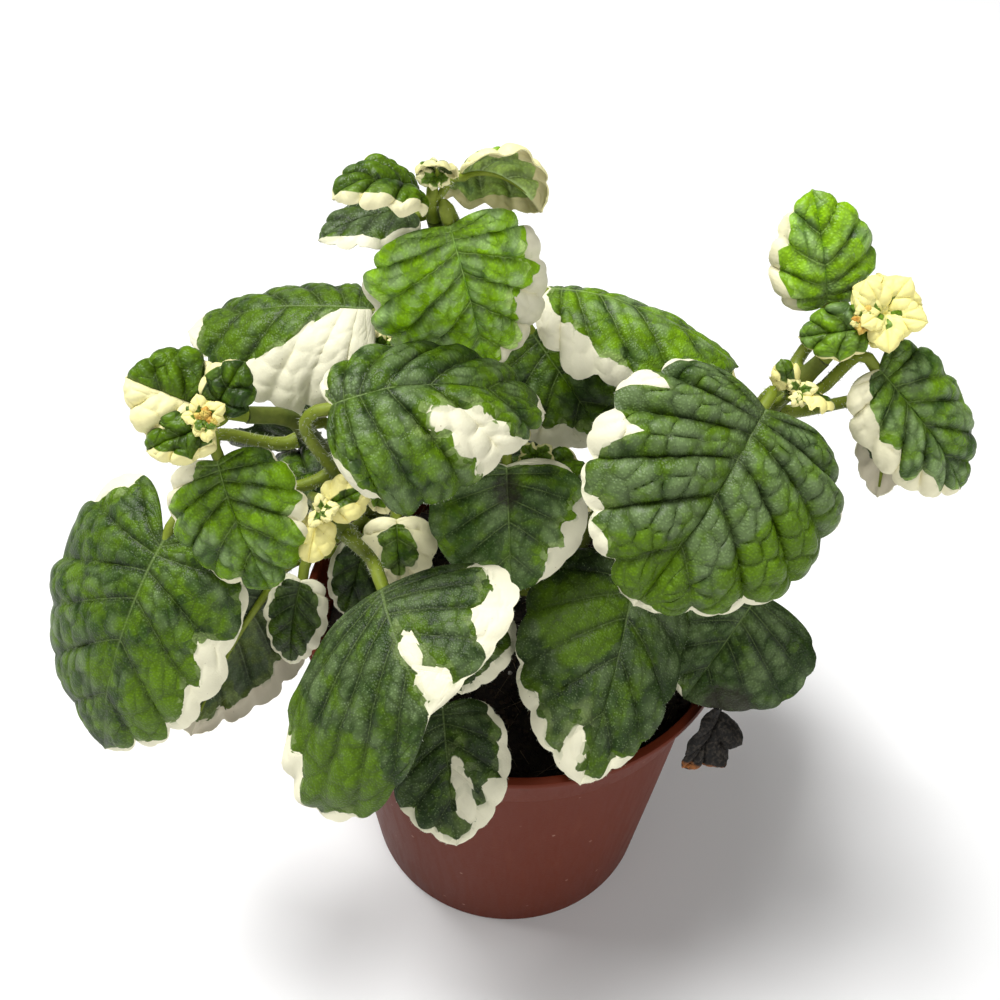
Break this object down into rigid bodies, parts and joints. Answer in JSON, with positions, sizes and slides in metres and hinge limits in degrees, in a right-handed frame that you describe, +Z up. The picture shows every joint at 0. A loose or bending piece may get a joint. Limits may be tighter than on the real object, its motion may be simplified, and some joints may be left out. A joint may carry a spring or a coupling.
{
  "type": "potted plant",
  "caption": "Bushy variegated plant with scalloped green leaves edged in cream, on soft stems in a round tapered plastic nursery pot with a collar and soil.",
  "frame": {"origin": "on the ground, under the middle of the whole plant's box; the pot's axis stands 6.6 mm to +X and 1.3 mm to -Y of it", "axes": "+Z up, -Y the front that the picture shows, +X to the viewer's right"},
  "size_m": [0.1961, 0.1401, 0.2123],
  "materials": {
    "pot": "satin",
    "soil": "matte",
    "leaf": "satin",
    "young_leaf": "satin",
    "dry_leaf": "matte",
    "stem": "satin"
  },
  "bodies": {
    "root": {"pot": "pot", "soil": "soil", "stem_top": "stem", "stem_right": "stem", "stem_left": "stem", "stem_front_left": "stem", "stem_front": "stem", "stem_back_right": "stem", "stem_back_left": "stem", "shoot_top": "young_leaf", "shoot_right": "young_leaf", "shoot_axil": "young_leaf", "shoot_left": "young_leaf", "shoot_inner": "young_leaf", "shoot_front": "young_leaf", "shoot_back_right": "young_leaf", "shoot_back_left": "young_leaf", "leaf_top_front": "leaf", "leaf_top_left": "leaf", "leaf_back_cream": "leaf", "leaf_left_low": "leaf", "leaf_left_large": "leaf", "leaf_left_under": "leaf", "leaf_left_small": "leaf", "leaf_left_behind": "leaf", "leaf_centre": "leaf", "leaf_centre_low": "leaf", "leaf_cream_small": "leaf", "leaf_front": "leaf", "leaf_front_hidden": "leaf", "leaf_rim_left": "leaf", "leaf_rim_centre": "leaf", "leaf_right_large": "leaf", "leaf_back_ridge": "leaf", "leaf_back_centre": "leaf", "leaf_right_fallen": "leaf", "leaf_withered": "dry_leaf", "leaf_right_tip": "leaf", "leaf_right_outer": "leaf", "leaf_right_hanging": "leaf", "leaf_inner_dark": "leaf", "leaf_back_a": "leaf", "leaf_back_b": "leaf", "leaf_back_c": "leaf", "leaf_back_d": "leaf", "leaf_back_e": "leaf", "leaf_back_f": "leaf", "leaf_back_g": "leaf", "leaf_back_h": "leaf", "leaf_back_i": "leaf", "leaf_back_j": "leaf"}
  },
  "joints": []
}
